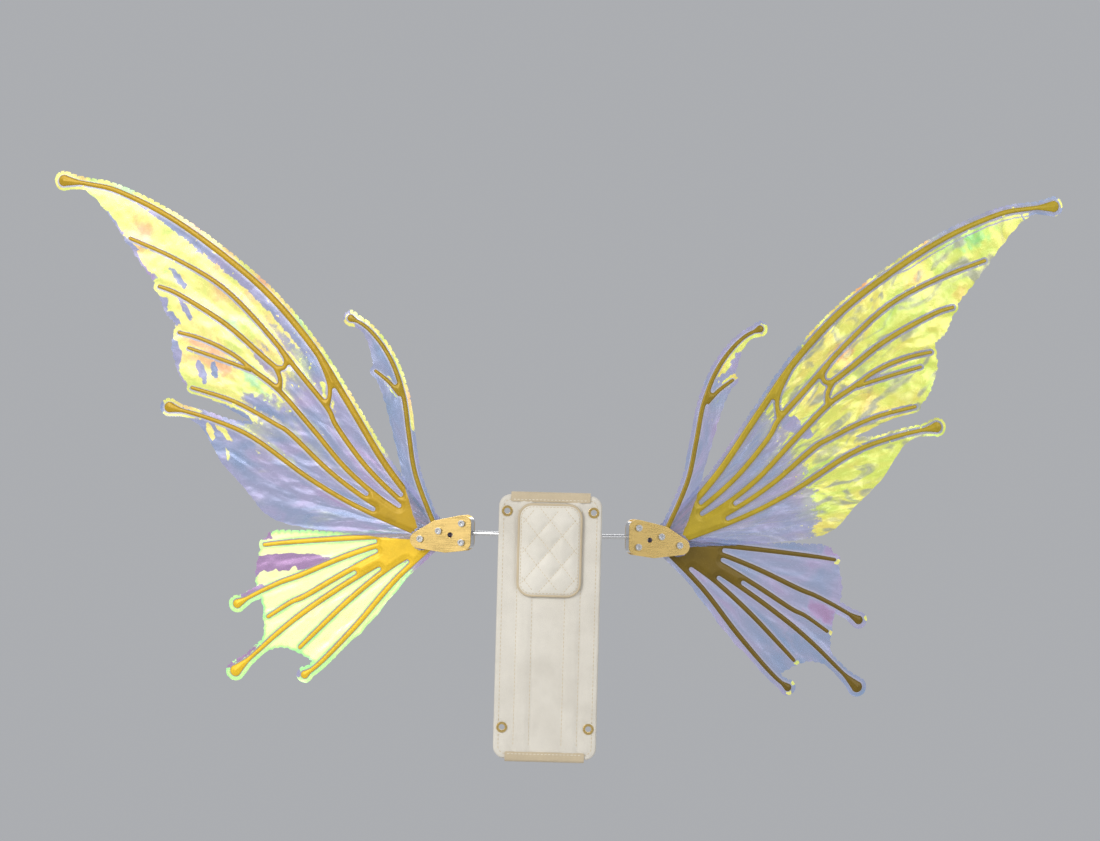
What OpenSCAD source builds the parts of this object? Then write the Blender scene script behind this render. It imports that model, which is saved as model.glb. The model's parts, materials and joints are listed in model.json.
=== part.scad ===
// Fairy wings worn on the back: a bodice insert carries two swivelling, lift-out wings.
// Frame: +Z up, the wearer faces -Y, the wearer's left is +X.
// The origin is the middle of the flat face of the back pad, which rests on the wearer's back.
// The left side is modelled, and the right side is its mirror image.

/* [Insert] */
// Width of the fabric sleeve
sleeve_w = 86; // [84:1:110]
// Height of the sleeve's top edge above the origin
sleeve_top = 46; // [42:1:60]
// Depth of the sleeve's bottom edge below the origin
sleeve_bottom = 174; // [160:2:240]
// Thickness of the sleeve
sleeve_t = 3.2; // [2.8:0.1:4]
// Thickness of the back pad
pad_t = 7; // [5:0.5:9]
// Distance across between the lacing eyelets
eyelet_spacing_x = 72; // [70:1:74]
// Distance up between the lacing eyelets
eyelet_spacing_z = 180; // [160:5:185]
// Bore of a lacing eyelet
eyelet_bore = 5; // [4:0.5:5]

/* [Sockets] */
// Distance of each stem from the middle of the back
stem_x = 28; // [26:1:30]
// Diameter of the stem rod
stem_d = 4; // [3:0.5:4]
// Gap around the stem in its bores
stem_gap = 0.05; // [0.03:0.01:0.08]
// Outer diameter of the shaft collar
collar_d = 13; // [12:0.5:13]

/* [Wings] */
// Angle that each wing leans back from straight out
rest_sweep = 15; // [5:1:25]
// Thickness of the film laminate
film_t = 0.3; // [0.2:0.05:0.4]
// Height of the gilt bead on the front of the film
bead_h = 1.4; // [1:0.1:1.5]
// Width of the film left outside each vein
film_margin = 4; // [3:0.5:5]
// Width of a vein at its tip
vein_tip_w = 3; // [2.6:0.1:3.6]
// Width of a vein at its widest
vein_full_w = 4.4; // [3.8:0.1:5]
// Radius that rounds the inside of each vein fork
fork_r = 1.9; // [1:0.1:2.4]

/* [Hidden] */
$fn = 48;

// Layers of the insert, counted away from the wearer's back.
sleeve_y = pad_t;
plate_y = sleeve_y + sleeve_t;
plate_t = 1.6;
socket_y = plate_y + plate_t;
stem_y = socket_y + 8.2;

// Heights of the swivel parts along the stem.
upper_socket_z = [-26, 0];
lower_socket_z = [-74, -40.4];
collar_z = [-39.2, -27.2];
washer_t = 1;
washer_gap = 0.1;
bore_r = stem_d / 2 + stem_gap;
socket_r = 6.5;
arm_z = 12;
arm_end = 52;
bend_r = 9;
stem_foot = -76;
screw_z = (collar_z[0] + collar_z[1]) / 2;

// Bones in the sleeve.
bone_x = 20;
bone_size = [8, 0.9];
channel_size = [8.6, 1.4];
bone_inset = 12;

// Each panel lies in its own layer, so that the three overlap freely at the root.
layer = 3.2;
panel_t = film_t + 2 * bead_h;
stack = 2 * layer + panel_t + 0.1;
root_plate_t = 1.5;
root_screws = [[46, 20], [46, 4], [66, 13], [82, 6]];
tab_screws = [root_screws[2], root_screws[3]];
tab_w = 12;
screw_r = 1.5;

// The wires behind the film are this much narrower than the beads in front, and have no rounded forks.
wire_thin = 1.4;

// Sideways and upward places in the wing's own plane, from the stem.
// Each vein runs from its tip to its root.
leading_vein = [[413, 304], [389, 301], [362, 295], [316, 274], [269, 244], [223, 208],
    [183, 165], [155, 125], [141, 104], [119, 71], [95, 42], [70, 18]];
second_vein = [[351, 255], [309, 238], [265, 214], [226, 178], [194, 142], [169, 114],
    [160, 98], [134, 66], [104, 39], [74, 17]];
third_vein = [[323, 214], [304, 207], [262, 183], [229, 157], [216, 147]];
fork_stem = [[243, 149], [236, 144], [212, 127], [181, 95], [150, 62], [116, 36], [78, 15]];
fork_top = [[304, 175], [287, 171], [268, 164], [251, 155], [238, 145]];
fork_low = [[295, 162], [275, 156], [256, 150], [238, 144]];
fifth_vein = [[291, 128], [252, 117], [215, 99], [200, 90], [164, 59], [126, 34], [82, 13]];
sixth_vein = [[311, 111], [274, 102], [235, 87], [184, 54], [140, 31], [86, 10]];
lead_strut = [[181, 163], [171, 143], [167, 129], [169, 114]];
hook_strut = [[212, 162], [207, 154], [209, 147], [216, 147]];
drop_strut = [[217, 148], [212, 138], [212, 127]];
upper_edge = [[413, 304], [385, 291], [359, 260], [341, 235], [327, 217], [321, 202], [315, 190],
    [307, 182], [310, 164], [305, 146], [299, 134], [290, 126]];
upper_lower_edge = [[304, 106], [284, 96], [271, 78], [262, 64], [240, 42], [213, 17],
    [150, 8], [84, 4]];
upper_notch = [238, 101];

winglet_vein = [[149, 190], [137, 184], [126, 174], [116, 161], [108, 146], [102, 129],
    [99, 117], [95, 92], [88, 58], [70, 16]];
winglet_spur = [[126, 146], [114, 137], [104, 126]];
winglet_edge = [[149, 190], [141, 182], [133, 170], [128, 152], [124, 138], [118, 124],
    [112, 104], [104, 76], [96, 46], [84, 12]];

lower_veins = [
    [[223, -4], [200, -1], [150, 4], [112, 7], [84, 8]],
    [[246, -55], [228, -45], [207, -35], [191, -29], [152, -12], [114, 1], [84, 5]],
    [[218, -65], [198, -52], [185, -46], [150, -25], [114, -6], [82, 3]],
    [[246, -112], [227, -95], [206, -76], [182, -57], [147, -33], [112, -12], [80, 2]],
    [[189, -90], [176, -77], [146, -48], [112, -20], [76, 2]],
    [[184, -113], [169, -101], [138, -68], [106, -30], [70, 4]]];
lower_edge = [[84, 13], [150, 11], [212, 10], [223, 2], [227, -6], [231, -22], [231, -38],
    [226, -50], [223, -65], [223, -80], [225, -97], [215, -94], [204, -92], [192, -95],
    [180, -101], [168, -102], [135, -77], [102, -38], [68, 2]];

// ---- curves ----

// One point of a smooth curve between b and c, at t from 0 to 1.
function curve_point(a, b, c, d, t) =
    0.5 * (2 * b + (c - a) * t + (2 * a - 5 * b + 4 * c - d) * t * t
    + (3 * b - a - 3 * c + d) * t * t * t);

// A smooth curve through every point, with n steps between neighbours.
function smooth(points, n = 5) = let (last = len(points) - 1) [
    for (i = [0 : last - 1], k = [0 : n - 1])
        curve_point(points[max(i - 1, 0)], points[i], points[i + 1],
            points[min(i + 2, last)], k / n),
    points[last]];

// Unit vector square to the curve at its point i.
function across(path, i) = let (
    d = path[min(i + 1, len(path) - 1)] - path[max(i - 1, 0)])
    [-d[1], d[0]] / norm(d);

// Outline of a strip along the curve: tip_w wide at its start, and full_w from its middle on.
function strip(path, tip_w, full_w) = let (
    last = len(path) - 1,
    half = [for (i = [0 : last]) (tip_w + (full_w - tip_w) * min(1, 2 * i / last)) / 2])
    [for (i = [0 : last]) path[i] + across(path, i) * half[i],
    for (i = [last : -1 : 0]) path[i] - across(path, i) * half[i]];

// The curve with shallow scallops along it, deep at most depth.
function scalloped(path, depth, turn = 62) = [
    for (i = [0 : len(path) - 1])
        path[i] + across(path, i) * depth * (i == 0 || i == len(path) - 1 ? 0 : abs(sin(i * turn)))];

// ---- placing ----

module left() children();
module right() mirror([1, 0, 0]) children();
module both() { left() children(); right() children(); }
module at_stem() translate([stem_x, stem_y, 0]) children();
module in_wing() at_stem() rotate([0, 0, rest_sweep]) children();

// A sheet t thick in the wing's plane, whose middle lies n behind it.
module slab(n, t) translate([0, n + t / 2, 0]) rotate([90, 0, 0]) linear_extrude(t) children();

// A rod of radius r through the wing's plane at p, from n1 to n2.
module cross_rod(p, r, n1, n2) translate([p[0], n1, p[1]]) rotate([-90, 0, 0])
    cylinder(r = r, h = n2 - n1);

module merged() offset(delta = 0.01) children();
module fillet(r) {
    if (r > 0) offset(r = -r, $fn = 16) offset(r = r, $fn = 8) children();
    else merged() children();
}
module rounded_box_2d(w, h, r) offset(r = r) square([w - 2 * r, h - 2 * r], center = true);

// ---- outlines of veins and films ----

// A vein from tip to root. A bulb is its radius and the length of the neck that leads into it.
module vein_2d(points, bulb = [0, 0], tip_w = vein_tip_w, full_w = vein_full_w) {
    path = smooth(points);
    back = (path[1] - path[0]) / norm(path[1] - path[0]);
    side = [-back[1], back[0]];
    neck = [[0.9, 0.42 * bulb[0]], [0.64, 0.4 * bulb[1]], [0.43, 0.68 * bulb[1]], [0.3, bulb[1]]];
    polygon(strip(path, tip_w, full_w));
    translate(path[0]) circle(d = tip_w, $fn = 16);
    if (bulb[0] > 0) {
        translate(path[0]) circle(r = bulb[0], $fn = 32);
        polygon([
            for (k = [0 : 3]) path[0] + back * neck[k][1] + side * bulb[0] * neck[k][0],
            for (k = [3 : -1 : 0]) path[0] + back * neck[k][1] - side * bulb[0] * neck[k][0]]);
    }
}

module root_tab_2d() {
    polygon(strip(tab_screws, tab_w, tab_w));
    for (p = tab_screws) translate(p) circle(d = tab_w, $fn = 32);
}

// The veins of each panel. fork rounds the forks, and thin narrows every vein and leaves out the bulbs.
module upper_veins_2d(fork, thin = 0) merged() {
    tip = vein_tip_w - thin;
    full = vein_full_w - thin;
    bulbs = thin > 0 ? 0 : 1;
    fillet(fork) {
        vein_2d(leading_vein, bulbs * [4.9, 20], tip + 0.4, full + 1.2);
        vein_2d(second_vein, [0, 0], tip, full);
        vein_2d(third_vein, [0, 0], tip, full - 0.2);
        vein_2d(fork_stem, [0, 0], full - 0.8, full);
        vein_2d(fifth_vein, [0, 0], tip, full - 0.2);
        vein_2d(sixth_vein, bulbs * [4.5, 15], tip, full - 0.2);
        for (strut = [lead_strut, hook_strut, drop_strut]) vein_2d(strut, [0, 0], full - 0.6, full - 0.6);
        root_tab_2d();
    }
    vein_2d(fork_top, [0, 0], tip - 0.2, full - 1);
    vein_2d(fork_low, [0, 0], tip - 0.3, full - 1.2);
}

module lower_veins_2d(fork, thin = 0) fillet(fork) {
    bulbs = [[0, 0], [3.8, 14], [0, 0], [4.8, 19], [0, 0], [3.3, 11]];
    for (i = [0 : len(lower_veins) - 1]) vein_2d(lower_veins[i],
        thin > 0 ? [0, 0] : bulbs[i], vein_tip_w - thin, vein_full_w - thin - 0.2);
    root_tab_2d();
}

module winglet_veins_2d(fork, thin = 0) fillet(fork) {
    vein_2d(winglet_vein, thin > 0 ? [0, 0] : [3.1, 9], vein_tip_w - thin - 0.2, vein_full_w - thin - 0.4);
    vein_2d(winglet_spur, [0, 0], vein_tip_w - thin - 0.4, vein_full_w - thin - 1);
    root_tab_2d();
}

module upper_film_2d() merged() {
    offset(r = film_margin, $fn = 20) upper_veins_2d(0);
    polygon(concat(
        scalloped(smooth(upper_edge, 8), 1.6),
        [upper_notch],
        smooth(upper_lower_edge, 4),
        [for (i = [len(leading_vein) - 1 : -1 : 1]) leading_vein[i]]));
}

module lower_film_2d() merged() {
    offset(r = film_margin, $fn = 20) lower_veins_2d(0);
    polygon(scalloped(smooth(lower_edge, 6), -1.4));
}

module winglet_film_2d() merged() {
    offset(r = film_margin, $fn = 20) winglet_veins_2d(0);
    polygon(concat(
        scalloped(smooth(winglet_edge, 6), 1.2),
        [for (i = [len(winglet_vein) - 1 : -1 : 1]) winglet_vein[i]]));
}

// ---- panels: film, front bead and back wire, each in its panel's layer n ----

module film(n) difference() {
    slab(n, film_t) children();
    for (p = tab_screws) cross_rod(p, screw_r + 0.1, n - 1, n + 1);
}

module beads(n) difference() {
    slab(n - (film_t + bead_h) / 2, bead_h) children();
    for (p = tab_screws) cross_rod(p, screw_r + 0.1, n - bead_h - 1, n);
}

module wires(n) difference() {
    slab(n + (film_t + bead_h) / 2, bead_h) children();
    for (p = tab_screws) cross_rod(p, screw_r + 0.1, n, n + bead_h + 1);
}

module upper_film() color("khaki") in_wing() film(0) upper_film_2d();
module upper_veins() color("goldenrod") in_wing() beads(0) upper_veins_2d(fork_r);
module upper_wires() color("darkgoldenrod") in_wing() wires(0) upper_veins_2d(0, wire_thin);
module lower_film() color("thistle") in_wing() film(layer) lower_film_2d();
module lower_veins() color("goldenrod") in_wing() beads(layer) lower_veins_2d(fork_r);
module lower_wires() color("darkgoldenrod") in_wing() wires(layer) lower_veins_2d(0, wire_thin);
module winglet_film() color("lavender") in_wing() film(-layer) winglet_film_2d();
module winglet_veins() color("goldenrod") in_wing() beads(-layer) winglet_veins_2d(fork_r);
module winglet_wires() color("darkgoldenrod") in_wing() wires(-layer) winglet_veins_2d(0, wire_thin);

// ---- wing root ----

// Bent rod: down through both sockets, and out to the root block.
module stem() color("silver") in_wing() {
    translate([0, 0, stem_foot]) cylinder(d = stem_d, h = arm_z - bend_r - stem_foot);
    translate([bend_r, 0, arm_z - bend_r]) rotate([90, 0, 0]) rotate([0, 0, 90])
        rotate_extrude(angle = 90) translate([bend_r, 0]) circle(d = stem_d);
    translate([bend_r, 0, arm_z]) rotate([0, 90, 0]) cylinder(d = stem_d, h = arm_end - bend_r);
}

module root_block() color("silver") in_wing() difference() {
    slab(0, stack) translate([46, arm_z]) rounded_box_2d(16, 26, 3);
    translate([0, 0, arm_z]) rotate([0, 90, 0]) cylinder(d = stem_d, h = arm_end);
    for (i = [0, 1]) cross_rod(root_screws[i], screw_r + 0.1, -stack, stack);
}

module root_plate_2d() difference() {
    offset(r = 7) polygon([[45, 20], [45, 4], [60, 2], [84, 5], [68, 15]]);
    translate([56, 10]) circle(d = 4.4);
}

module root_plate(n) color("gold") in_wing() difference() {
    slab(n, root_plate_t) root_plate_2d();
    for (p = root_screws) cross_rod(p, screw_r + 0.1, n - 2, n + 2);
}
plate_n = (stack + root_plate_t) / 2;
module front_plate() root_plate(-plate_n);
module back_plate() root_plate(plate_n);

screw_n = plate_n + root_plate_t / 2;
module root_screw(p) {
    cross_rod(p, screw_r, -screw_n, screw_n + 3.2);
    difference() {
        cross_rod(p, 2.8, -screw_n - 2, -screw_n);
        translate([p[0], -screw_n - 2, p[1]]) rotate([-90, 0, 0]) cylinder(d = 3, h = 1.2, $fn = 6);
    }
}
module root_screws() color("silver") in_wing() for (p = root_screws) root_screw(p);
module root_nuts() color("silver") in_wing() for (p = root_screws) difference() {
    translate([p[0], screw_n, p[1]]) rotate([-90, 0, 0]) cylinder(r = 3.2, h = 2.4, $fn = 6);
    cross_rod(p, screw_r, screw_n - 1, screw_n + 4);
}

// ---- swivel ----

module collar() color("silver") at_stem() difference() {
    translate([0, 0, collar_z[0]]) cylinder(d = collar_d, h = collar_z[1] - collar_z[0]);
    translate([0, 0, collar_z[0] - 1]) cylinder(r = bore_r, h = 20);
    translate([0, 0, screw_z]) rotate([-90, 0, 0]) cylinder(r = 1.55, h = collar_d);
}

module thumbscrew() color("gold") at_stem() translate([0, 0, screw_z]) rotate([-90, 0, 0]) {
    translate([0, 0, stem_d / 2 + 0.15]) cylinder(r = 1.5, h = 8);
    difference() {
        translate([0, 0, collar_d / 2 + 1]) cylinder(d = 11, h = 5);
        for (a = [0 : 30 : 330]) rotate([0, 0, a]) translate([6.2, 0, collar_d / 2])
            cylinder(d = 2.4, h = 8, $fn = 24);
    }
}

module socket(z) color("silver") at_stem() difference() {
    union() {
        translate([0, 0, z[0]]) cylinder(r = socket_r, h = z[1] - z[0]);
        translate([-socket_r, socket_y - stem_y, z[0]]) cube([2 * socket_r, 8.2, z[1] - z[0]]);
        translate([-12.5, socket_y - stem_y, z[0]]) cube([25, 2.4, z[1] - z[0]]);
    }
    translate([0, 0, z[0] - 1]) cylinder(r = bore_r, h = z[1] - z[0] + 2);
    for (s = [-1, 1]) socket_hole(s, (z[0] + z[1]) / 2);
}
module socket_hole(s, z) translate([9.5 * s, socket_y - stem_y - 1, z]) rotate([-90, 0, 0])
    cylinder(r = 1.3, h = 6);

module socket_screws() color("silver") both() at_stem()
    for (z = [upper_socket_z, lower_socket_z], s = [-1, 1])
        translate([9.5 * s, socket_y - stem_y, (z[0] + z[1]) / 2]) rotate([-90, 0, 0]) {
            translate([0, 0, -plate_t]) cylinder(r = 1.2, h = plate_t + 2.4);
            translate([0, 0, 2.4]) cylinder(r1 = 2.5, r2 = 1.9, h = 1.2);
        }

module washer(z) translate([0, 0, z]) difference() {
    cylinder(r = 5, h = washer_t);
    translate([0, 0, -1]) cylinder(r = bore_r + 0.2, h = 3);
}
module swivel_washers() color("ivory") both() at_stem() {
    washer(collar_z[1] + washer_gap);
    washer(collar_z[0] - washer_gap - washer_t);
}

module socket_caps() color("dimgray") both() at_stem() translate([0, 0, lower_socket_z[0] - 5])
    difference() {
        cylinder(r = 5.5, h = 5);
        translate([0, 0, 2]) cylinder(r = stem_d / 2 + 0.6, h = 4);
    }

// ---- insert ----

sleeve_mid = (sleeve_top - sleeve_bottom) / 2;
sleeve_h = sleeve_top + sleeve_bottom;
eyelet_z = sleeve_top - 14;
eyelets = [for (s = [-1, 1], k = [0, 1]) [s * eyelet_spacing_x / 2, eyelet_z - k * eyelet_spacing_z]];
plate_size = [80, 100];
plate_mid = -38;

module back_pad() color("ivory") translate([0, pad_t, 0]) rotate([90, 0, 0])
    linear_extrude(pad_t) rounded_box_2d(54, 78, 12);

module insert_sleeve() color("ivory") difference() {
    translate([0, sleeve_y + sleeve_t, sleeve_mid]) rotate([90, 0, 0])
        linear_extrude(sleeve_t) rounded_box_2d(sleeve_w, sleeve_h, 10);
    for (s = [-1, 1]) translate([s * bone_x - channel_size[0] / 2,
        sleeve_y + (sleeve_t - channel_size[1]) / 2, -sleeve_bottom - 1])
        cube([channel_size[0], channel_size[1], sleeve_h + 2]);
    for (e = eyelets) translate([e[0], sleeve_y - 1, e[1]]) rotate([-90, 0, 0])
        cylinder(d = eyelet_bore + 1.2, h = sleeve_t + 2);
}

module sleeve_binding() color("tan") for (z = [sleeve_top, -sleeve_bottom - 2.4])
    translate([-33, sleeve_y - 0.8, z]) cube([66, sleeve_t + 0.7, 2.4]);

bone_z = [-sleeve_bottom + bone_inset, sleeve_top - bone_inset];
module bone(s) color("silver") translate([s * bone_x - bone_size[0] / 2,
    sleeve_y + (sleeve_t - bone_size[1]) / 2, bone_z[0]])
    cube([bone_size[0], bone_size[1], bone_z[1] - bone_z[0]]);
module left_bone() bone(1);
module right_bone() bone(-1);
module bone_tips() color("white") for (s = [-1, 1], z = [bone_z[0] - 8, bone_z[1]])
    translate([s * bone_x - 4.2, sleeve_y + sleeve_t / 2 - 0.6, z]) cube([8.4, 1.2, 8]);

module lacing_eyelets() color("gold") for (e = eyelets)
    translate([e[0], sleeve_y - 0.5, e[1]]) rotate([-90, 0, 0]) rotate_extrude()
        translate([eyelet_bore / 2, 0]) {
            square([0.6, sleeve_t + 1]);
            square([2, 0.5]);
            translate([0, sleeve_t + 0.5]) square([2, 0.5]);
        }

module spine_plate() color("silver") difference() {
    translate([0, plate_y + plate_t, plate_mid]) rotate([90, 0, 0])
        linear_extrude(plate_t) rounded_box_2d(plate_size[0], plate_size[1], 12);
    for (z = [-10, -38, -66]) translate([0, plate_y - 1, z]) rotate([-90, 0, 0])
        cylinder(d = 16, h = 4);
    for (s = [-1, 1], t = [-1, 1], z = [upper_socket_z, lower_socket_z])
        translate([s * stem_x + 9.5 * t, plate_y - 1, (z[0] + z[1]) / 2]) rotate([-90, 0, 0])
            cylinder(r = 1.3, h = 4);
}

module plate_rivets() color("gold") for (x = [-12, 12], z = [4, -80])
    translate([x, plate_y + plate_t, z]) rotate([-90, 0, 0]) intersection() {
        cylinder(r = 2.6, h = 1.3);
        translate([0, 0, -2.4]) sphere(r = 3.6);
    }

back_pad();
insert_sleeve();
sleeve_binding();
left_bone();
right_bone();
bone_tips();
lacing_eyelets();
spine_plate();
plate_rivets();
left() socket(upper_socket_z);  // left_upper_socket
left() socket(lower_socket_z);  // left_lower_socket
right() socket(upper_socket_z);  // right_upper_socket
right() socket(lower_socket_z);  // right_lower_socket
socket_screws();
swivel_washers();
socket_caps();
left() collar();  // left_collar
left() thumbscrew();  // left_thumbscrew
left() stem();  // left_stem
left() root_block();  // left_root_block
left() front_plate();  // left_front_plate
left() back_plate();  // left_back_plate
left() root_screws();  // left_root_screws
left() root_nuts();  // left_root_nuts
left() upper_film();  // left_upper_film
left() upper_veins();  // left_upper_veins
left() upper_wires();  // left_upper_wires
left() lower_film();  // left_lower_film
left() lower_veins();  // left_lower_veins
left() lower_wires();  // left_lower_wires
left() winglet_film();  // left_winglet_film
left() winglet_veins();  // left_winglet_veins
left() winglet_wires();  // left_winglet_wires
right() collar();  // right_collar
right() thumbscrew();  // right_thumbscrew
right() stem();  // right_stem
right() root_block();  // right_root_block
right() front_plate();  // right_front_plate
right() back_plate();  // right_back_plate
right() root_screws();  // right_root_screws
right() root_nuts();  // right_root_nuts
right() upper_film();  // right_upper_film
right() upper_veins();  // right_upper_veins
right() upper_wires();  // right_upper_wires
right() lower_film();  // right_lower_film
right() lower_veins();  // right_lower_veins
right() lower_wires();  // right_lower_wires
right() winglet_film();  // right_winglet_film
right() winglet_veins();  // right_winglet_veins
right() winglet_wires();  // right_winglet_wires
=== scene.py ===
"""Fairy wings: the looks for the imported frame.

Outlines, depths and joints come from the frame's nodes. Lengths are in millimetres unless a name or
comment says otherwise. left and right are the wearer's, so the right wing is on the photo's left.
"""

import json
import math

import bmesh
import bpy
import numpy as np
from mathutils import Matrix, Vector, kdtree, noise
from mathutils.geometry import delaunay_2d_cdt


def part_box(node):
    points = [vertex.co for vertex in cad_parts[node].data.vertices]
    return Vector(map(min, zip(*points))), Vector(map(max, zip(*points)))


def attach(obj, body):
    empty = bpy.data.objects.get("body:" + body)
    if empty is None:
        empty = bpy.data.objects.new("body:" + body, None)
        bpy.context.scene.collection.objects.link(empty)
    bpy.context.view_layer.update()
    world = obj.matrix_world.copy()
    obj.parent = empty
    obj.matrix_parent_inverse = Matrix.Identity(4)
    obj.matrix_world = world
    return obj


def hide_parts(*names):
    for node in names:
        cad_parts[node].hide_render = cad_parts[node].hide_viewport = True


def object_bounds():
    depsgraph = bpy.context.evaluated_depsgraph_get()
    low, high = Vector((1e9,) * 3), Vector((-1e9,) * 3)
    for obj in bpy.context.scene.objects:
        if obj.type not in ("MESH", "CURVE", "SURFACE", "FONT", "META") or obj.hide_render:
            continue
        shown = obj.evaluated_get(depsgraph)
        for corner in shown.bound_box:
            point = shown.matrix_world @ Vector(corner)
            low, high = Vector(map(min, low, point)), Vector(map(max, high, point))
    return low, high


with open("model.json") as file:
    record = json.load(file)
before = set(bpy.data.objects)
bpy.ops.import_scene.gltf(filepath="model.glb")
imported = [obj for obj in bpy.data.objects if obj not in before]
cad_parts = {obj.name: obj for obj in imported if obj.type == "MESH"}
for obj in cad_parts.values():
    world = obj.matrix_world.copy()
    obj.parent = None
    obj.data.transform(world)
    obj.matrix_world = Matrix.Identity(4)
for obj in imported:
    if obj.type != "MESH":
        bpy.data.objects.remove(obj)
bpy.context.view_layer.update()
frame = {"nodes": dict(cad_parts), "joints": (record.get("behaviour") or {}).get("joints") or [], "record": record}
nodes = frame["nodes"]
joints = {j["name"]: j for j in frame["joints"]}
MM = 0.001
SIDES = {"left": 1, "right": -1}


def placed(name, data):
    obj = bpy.data.objects.new(name, data)
    bpy.context.scene.collection.objects.link(obj)
    return obj


# ---- camera, light and floor ----

def make_camera():
    """The photo's view: level and from in front. Metres; width_seen is at the wings."""
    distance, width_seen, roll, sensor = 3.2, 0.913, 1.5, 36.0
    data = bpy.data.cameras.new("camera")
    data.sensor_width = sensor
    data.lens = sensor * distance / width_seen
    data.clip_end = 50
    cam = placed("camera", data)
    cam.location = (-0.0025, -distance, 0.108)
    cam.rotation_euler = (math.radians(90), 0, 0)
    cam.rotation_euler.rotate_axis("Z", math.radians(roll))
    bpy.context.scene.camera = cam


def area_light(name, place, aim, size, power, tint=(1, 1, 1)):
    data = bpy.data.lights.new(name, "AREA")
    data.shape = "RECTANGLE"
    data.size, data.size_y = size
    data.energy = power
    data.color = tint
    lamp = placed(name, data)
    lamp.location = place
    lamp.rotation_euler = (Vector(aim) - Vector(place)).to_track_quat("-Z", "Y").to_euler()


def make_light():
    scene = bpy.context.scene
    scene.view_settings.view_transform = "Standard"
    world = bpy.data.worlds.new("studio")
    world.use_nodes = True
    background = world.node_tree.nodes["Background"].inputs
    background["Color"].default_value = (0.41, 0.42, 0.44, 1)
    background["Strength"].default_value = 1.0
    scene.world = world
    area_light("window", (-2.2, -2.6, 1.5), (0, 0, 0.1), (1.8, 2.2), 95, (1.0, 0.99, 0.96))
    area_light("fill", (2.6, -2.2, 0.9), (0, 0, 0.1), (1.6, 1.6), 30)
    area_light("back", (0.4, 2.8, 1.6), (0, 0, 0.1), (2.4, 1.6), 40)


def make_floor():
    """A plain pale floor, well below the wings and out of the main view."""
    width, drop = 6.4, 0.55
    low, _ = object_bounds()
    bpy.ops.mesh.primitive_grid_add(x_subdivisions=8, y_subdivisions=8, size=width,
                                    location=(0, 0, low[2] - drop))
    floor = bpy.context.object
    floor.name = "floor"
    t = Tree("floor")
    cloud = t.noise(t.at, 2.5, 4.0, 0.6)
    t.set(Base_Color=t.mix(cloud, (0.62, 0.62, 0.61), (0.7, 0.7, 0.69)))
    t.set(Roughness=t.between(cloud, 0.3, 0.7, 0.75, 0.9))
    t.bump(t.noise(t.at, 90, 3.0, 0.6), 0.1, 0.001)
    paint(floor, t.mat)


# ---- node trees ----

class Tree:
    """A material's nodes, made one after another."""

    def __init__(self, name):
        self.mat = bpy.data.materials.new(name)
        self.mat.use_nodes = True
        self.nt = self.mat.node_tree
        self.shader = self.nt.nodes["Principled BSDF"]
        self.at = self.nt.nodes.new("ShaderNodeTexCoord").outputs["Object"]

    def put(self, socket, value):
        """Links value to the socket when it is an output, and sets it otherwise."""
        if isinstance(value, bpy.types.NodeSocket):
            self.nt.links.new(value, socket)
        elif isinstance(value, tuple) and len(value) == 3 and len(socket.default_value) == 4:
            socket.default_value = (*value, 1)
        else:
            socket.default_value = value

    def set(self, **values):
        for name, value in values.items():
            self.put(self.shader.inputs[name.replace("_", " ")], value)

    def maths(self, operation, a, b=0.0):
        n = self.nt.nodes.new("ShaderNodeMath")
        n.operation = operation
        self.put(n.inputs[0], a)
        self.put(n.inputs[1], b)
        return n.outputs[0]

    def add(self, a, b):
        return self.maths("ADD", a, b)

    def times(self, a, b):
        return self.maths("MULTIPLY", a, b)

    def noise(self, vector, scale, detail=3.0, rough=0.5, twist=0.0):
        n = self.nt.nodes.new("ShaderNodeTexNoise")
        for name, value in (("Vector", vector), ("Scale", scale), ("Detail", detail),
                            ("Roughness", rough), ("Distortion", twist)):
            self.put(n.inputs[name], value)
        return n.outputs[0]

    def swing(self, *noise):
        """Noise about zero."""
        return self.maths("SUBTRACT", self.noise(*noise), 0.5)

    def between(self, value, low, high, to_low=0.0, to_high=1.0):
        """Goes smoothly from to_low to to_high as value goes from low to high."""
        n = self.nt.nodes.new("ShaderNodeMapRange")
        n.interpolation_type = "SMOOTHSTEP"
        for k, v in enumerate((value, low, high, to_low, to_high)):
            self.put(n.inputs[k], v)
        return n.outputs[0]

    def stretched(self, vector, scale):
        n = self.nt.nodes.new("ShaderNodeMapping")
        self.put(n.inputs["Vector"], vector)
        n.inputs["Scale"].default_value = scale
        return n.outputs[0]

    def mix(self, share, a, b):
        n = self.nt.nodes.new("ShaderNodeMix")
        n.data_type = "RGBA"
        colour_a, colour_b, colour_out = 6, 7, 2
        self.put(n.inputs["Factor"], share)
        self.put(n.inputs[colour_a], a)
        self.put(n.inputs[colour_b], b)
        return n.outputs[colour_out]

    def ramp(self, value, stops):
        n = self.nt.nodes.new("ShaderNodeValToRGB")
        self.put(n.inputs["Fac"], value)
        ramp = n.color_ramp
        while len(ramp.elements) < len(stops):
            ramp.elements.new(0.5)
        for e, (at, colour) in zip(ramp.elements, stops):
            e.position = at
            e.color = (*colour, 1)
        return n.outputs["Color"]

    def attribute(self, name, out="Fac"):
        n = self.nt.nodes.new("ShaderNodeAttribute")
        n.attribute_name = name
        return n.outputs[out]

    def bump(self, height, strength, depth):
        n = self.nt.nodes.new("ShaderNodeBump")
        self.put(n.inputs["Height"], height)
        n.inputs["Strength"].default_value = strength
        n.inputs["Distance"].default_value = depth
        self.put(self.shader.inputs["Normal"], n.outputs[0])


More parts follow.
